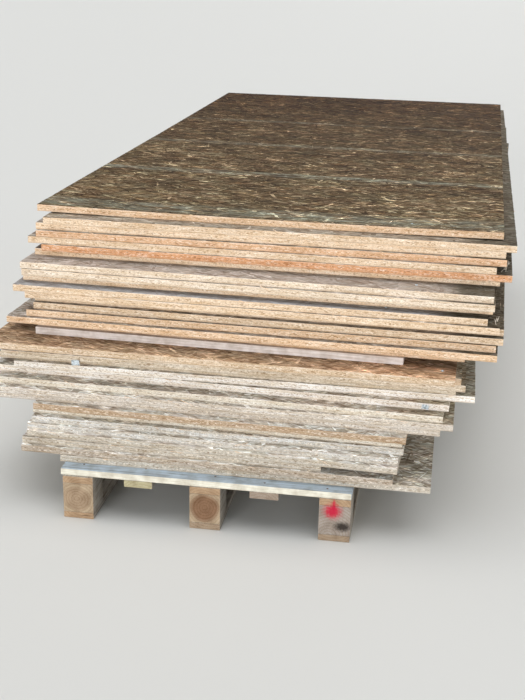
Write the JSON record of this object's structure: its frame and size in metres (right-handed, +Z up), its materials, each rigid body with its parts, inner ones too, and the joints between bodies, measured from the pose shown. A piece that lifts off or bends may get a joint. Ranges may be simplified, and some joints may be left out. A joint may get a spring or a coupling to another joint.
{
  "type": "osb panel stack",
  "caption": "Loose stack of oriented strand board panels with thin spacer battens between them, on a long wooden block pallet that forks can lift from every side.",
  "frame": {"origin": "middle of the stack's bounding box, on the floor", "axes": "+X across the panels to the right seen from the front end, +Y along the panels and the pallet away from the front end, +Z up"},
  "size_m": [1.4744, 2.7774, 0.793],
  "materials": {
    "osb": "rough pressed strands, sawn edges",
    "weathered_osb": "weathered strands, grey-brown",
    "spacer_wood": "sawn softwood",
    "pallet_wood": "sawn softwood, weathered on top"
  },
  "bodies": {
    "root": {"batten_back": "spacer_wood", "batten_front": "spacer_wood", "batten_middle": "spacer_wood", "pallet_block_left_1": "pallet_wood", "pallet_block_left_2": "pallet_wood", "pallet_block_left_3": "pallet_wood", "pallet_block_middle_1": "pallet_wood", "pallet_block_middle_2": "pallet_wood", "pallet_block_middle_3": "pallet_wood", "pallet_block_right_1": "pallet_wood", "pallet_block_right_2": "pallet_wood", "pallet_block_right_3": "pallet_wood", "pallet_bottom_board_left": "pallet_wood", "pallet_bottom_board_middle": "pallet_wood", "pallet_bottom_board_right": "pallet_wood", "pallet_deck_board_1": "pallet_wood", "pallet_deck_board_2": "pallet_wood", "pallet_deck_board_3": "pallet_wood", "pallet_deck_board_4": "pallet_wood", "pallet_deck_board_5": "pallet_wood", "pallet_long_board_left": "pallet_wood", "pallet_long_board_left_between": "pallet_wood", "pallet_long_board_middle": "pallet_wood", "pallet_long_board_right": "pallet_wood", "pallet_long_board_right_between": "pallet_wood", "panel_lower_01": "osb", "panel_lower_02": "osb", "panel_lower_03": "osb", "panel_lower_04": "osb", "panel_lower_05": "osb", "panel_lower_06": "osb", "panel_lower_07": "osb", "panel_lower_08": "osb", "panel_middle_01": "osb", "panel_middle_02": "osb", "panel_middle_03": "osb", "panel_middle_04": "osb", "panel_middle_05": "osb", "panel_middle_06": "osb", "panel_middle_07": "osb", "panel_middle_08": "osb", "panel_middle_09": "osb", "panel_upper_01": "weathered_osb", "panel_upper_02": "osb", "panel_upper_03": "osb", "panel_upper_04": "osb", "panel_upper_05": "osb", "panel_upper_06": "osb", "panel_upper_07": "osb", "panel_upper_08": "osb", "panel_upper_09": "osb", "panel_upper_10": "osb", "panel_upper_11": "osb", "panel_upper_12": "osb", "panel_upper_13": "osb", "panel_upper_14": "osb", "panel_upper_15": "osb", "panel_upper_16": "osb", "panel_upper_17": "osb"}
  },
  "joints": []
}
